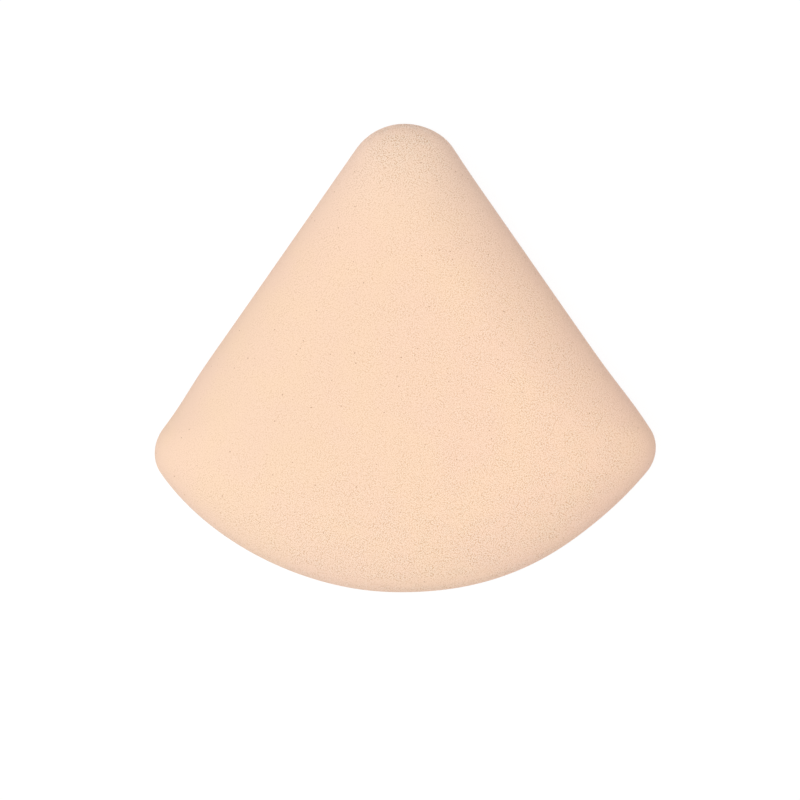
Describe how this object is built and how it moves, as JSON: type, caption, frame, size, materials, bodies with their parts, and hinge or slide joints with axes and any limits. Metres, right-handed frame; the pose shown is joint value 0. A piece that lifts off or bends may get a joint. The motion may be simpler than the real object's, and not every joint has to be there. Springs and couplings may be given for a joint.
{
  "type": "powder puff",
  "caption": "Fan-shaped soft powder puff with a porous face cover, a rounded rim, a foam core and a flat finger ribbon across its back.",
  "frame": {"origin": "centre of the outline, on the table under the finger ribbon", "axes": "+Z out of the face, +Y towards the apex of the fan, +X to the right as the face is looked at"},
  "size_m": [0.07, 0.0656, 0.0142],
  "materials": {
    "cover": "matt peach micro-porous foam skin",
    "foam": "open-cell sponge, paler than the cover",
    "bond": "soft hot-melt",
    "ribbon": "satin ribbon"
  },
  "bodies": {
    "puff": {"face_cover": "cover", "back_cover": "cover", "foam_core": "foam", "rim_bond": "bond"},
    "ribbon": {"finger_band": "ribbon"}
  },
  "joints": [
    {"name": "band_lift", "type": "slide", "parent": "puff", "child": "ribbon", "axis": [0, 0, -1], "range_m": [0, 0.008], "stiffness_N_per_m": 20, "deforming": ["finger_band"]}
  ]
}
